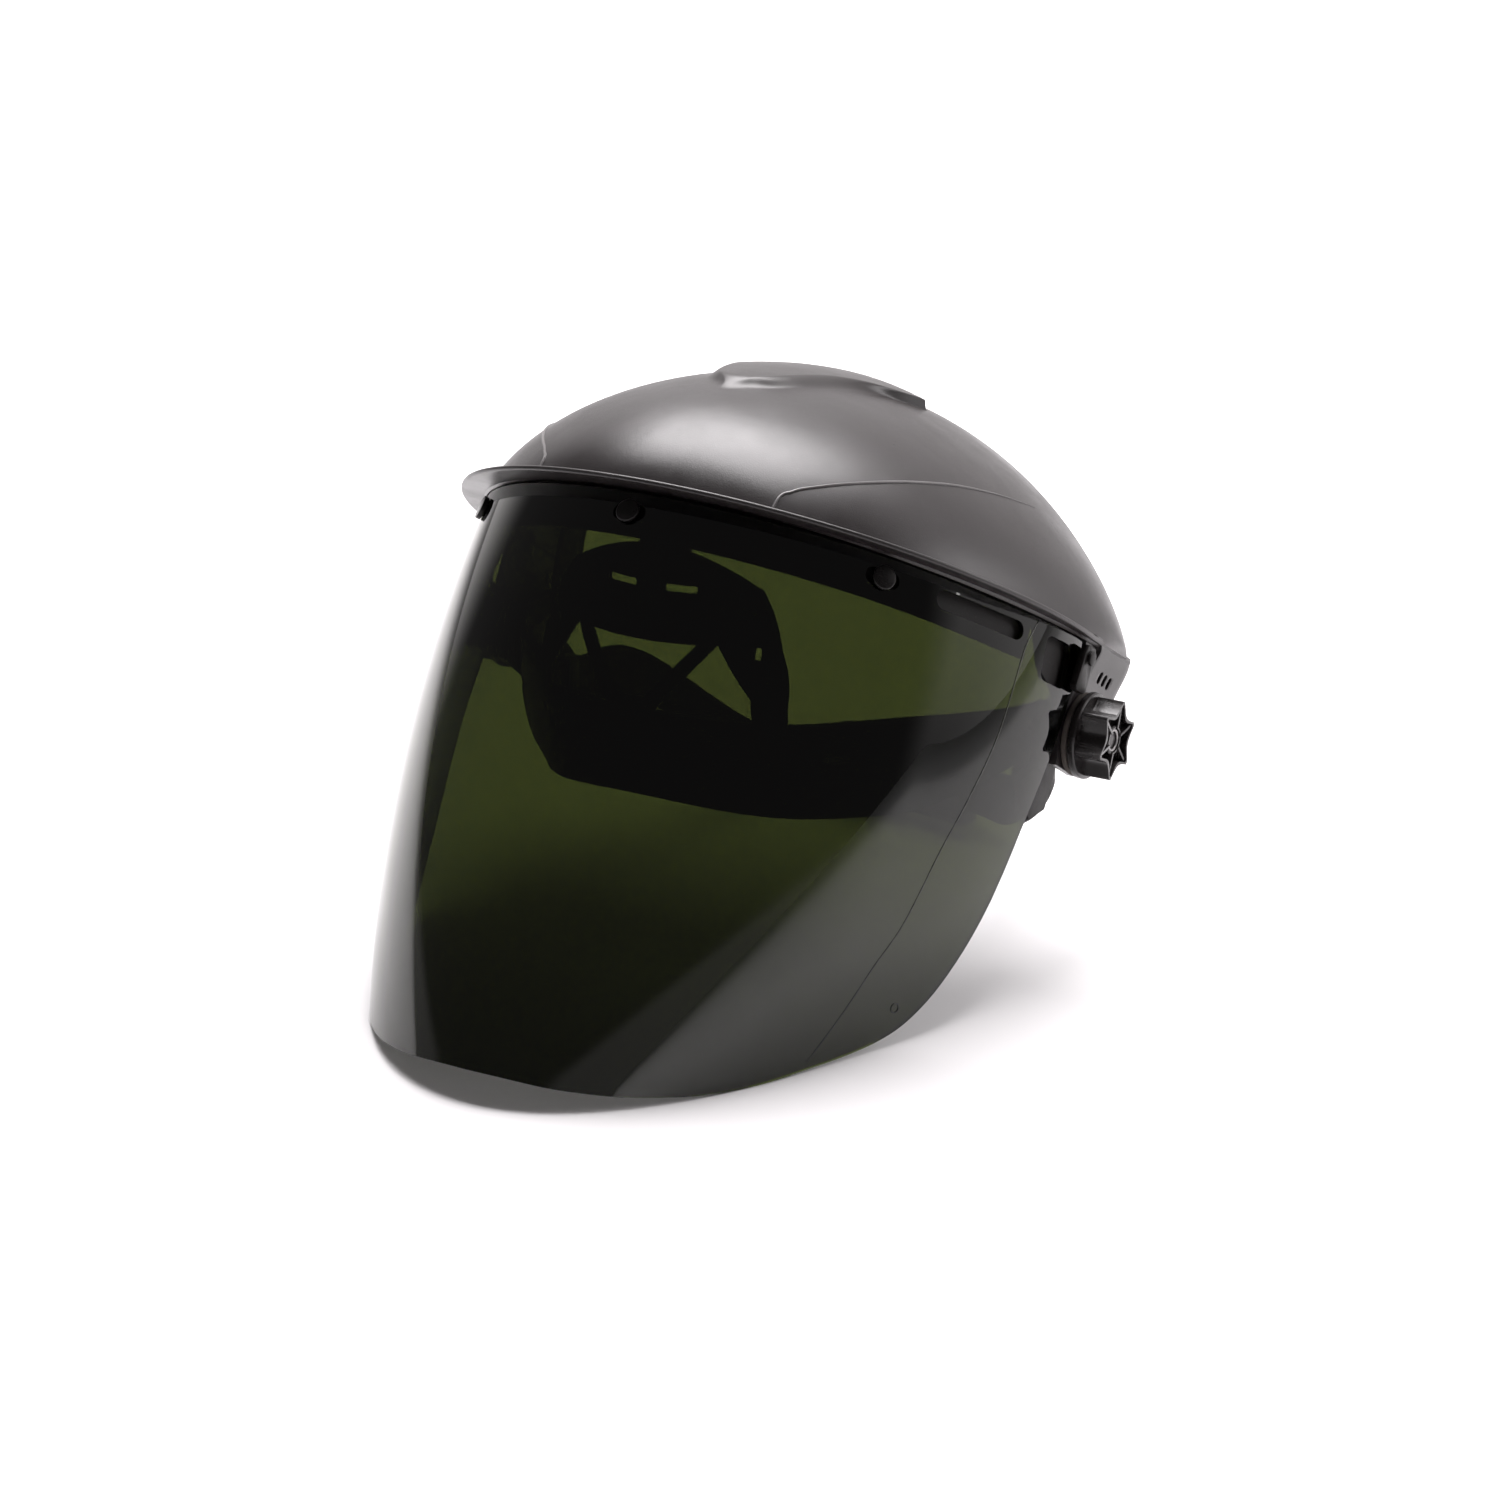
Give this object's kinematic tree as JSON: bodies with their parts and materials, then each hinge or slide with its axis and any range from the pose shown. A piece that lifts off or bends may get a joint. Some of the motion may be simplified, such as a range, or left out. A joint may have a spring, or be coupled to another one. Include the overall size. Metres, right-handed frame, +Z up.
{
  "type": "face shield",
  "caption": "Face shield with a moulded crown and brow ridge, a curved dark green window, side tension knobs and headgear with a ratchet nape strap.",
  "frame": {"origin": "middle of the footprint, on the surface the face shield stands on", "axes": "+Z up, the window faces -Y, the wearer's left is +X"},
  "size_m": [0.2612, 0.3229, 0.2022],
  "materials": {
    "shell_black": "satin",
    "window_green": "polished",
    "stud_black": "satin",
    "knob_black": "satin",
    "band_black": "satin",
    "washer_fibre": "matte",
    "steel": "brushed",
    "brass": "satin",
    "pad_black": "woven"
  },
  "bodies": {
    "headgear": {"headband": "band_black", "brow_pad": "pad_black", "forehead_plate": "band_black", "crown_strap_front": "band_black", "crown_strap_cross": "band_black", "crown_peg": "stud_black", "strap_rivet_front": "stud_black", "side_arm_left": "band_black", "side_arm_right": "band_black", "strap_keeper_left": "stud_black", "strap_keeper_right": "stud_black", "band_rivet_left": "stud_black", "band_rivet_right": "stud_black", "strap_rivet_left": "stud_black", "strap_rivet_right": "stud_black", "plate_rivet_left": "stud_black", "plate_rivet_right": "stud_black", "ratchet_housing": "knob_black", "ratchet_cover": "knob_black", "nape_pad": "pad_black", "pivot_bolt_left": "steel", "pivot_bolt_right": "steel", "washer_inner_left": "washer_fibre", "washer_inner_right": "washer_fibre"},
    "shield": {"crown_shell": "shell_black", "visor": "window_green", "stud_left": "stud_black", "stud_centre": "stud_black", "stud_right": "stud_black", "latch_pin_left": "stud_black", "latch_pin_right": "stud_black", "washer_outer_left": "washer_fibre", "washer_outer_right": "washer_fibre"},
    "knob_left": {"tension_knob_left": "knob_black", "knob_insert_left": "steel"},
    "knob_right": {"tension_knob_right": "knob_black", "knob_insert_right": "steel"},
    "latch_flap_left": {"latch_left": "stud_black"},
    "latch_flap_right": {"latch_right": "stud_black"},
    "ratchet": {"ratchet_pinion": "brass", "ratchet_knob": "knob_black", "ratchet_screw": "steel"},
    "nape_left": {"nape_strap_left": "band_black"},
    "nape_right": {"nape_strap_right": "band_black"}
  },
  "joints": [
    {"name": "shell_tilt", "type": "hinge", "parent": "headgear", "child": "shield", "pos_m": [0, 0.0494, 0.0811], "axis": [-1, 0, 0], "range_deg": [-31, 55]},
    {"name": "knob_turn_left", "type": "hinge", "parent": "headgear", "child": "knob_left", "pos_m": [0.1245, 0.0494, 0.0811], "axis": [1, 0, 0], "continuous": true},
    {"name": "knob_turn_right", "type": "hinge", "parent": "headgear", "child": "knob_right", "pos_m": [-0.1245, 0.0494, 0.0811], "axis": [1, 0, 0], "continuous": true},
    {"name": "latch_turn_left", "type": "hinge", "parent": "shield", "child": "latch_flap_left", "pos_m": [0.1187, 0.049, 0.1094], "axis": [-1, 0, 0], "range_deg": [0, 85]},
    {"name": "latch_turn_right", "type": "hinge", "parent": "shield", "child": "latch_flap_right", "pos_m": [-0.1187, 0.049, 0.1094], "axis": [-1, 0, 0], "range_deg": [0, 85]},
    {"name": "ratchet_turn", "type": "hinge", "parent": "headgear", "child": "ratchet", "pos_m": [0, 0.1494, 0.015], "axis": [0, 1, 0], "range_deg": [-100, 100]},
    {"name": "nape_slide_left", "type": "hinge", "parent": "headgear", "child": "nape_left", "pos_m": [0, 0.0494, 0.04], "axis": [0, 0, 1], "range_deg": [-6, 6]},
    {"name": "nape_slide_right", "type": "hinge", "parent": "headgear", "child": "nape_right", "pos_m": [0, 0.0494, 0.04], "axis": [0, 0, 1], "range_deg": [-6, 6]}
  ],
  "couplings": [
    {"joint": "nape_slide_left", "follows": "ratchet_turn", "ratio": -0.052},
    {"joint": "nape_slide_right", "follows": "ratchet_turn", "ratio": 0.0531}
  ]
}
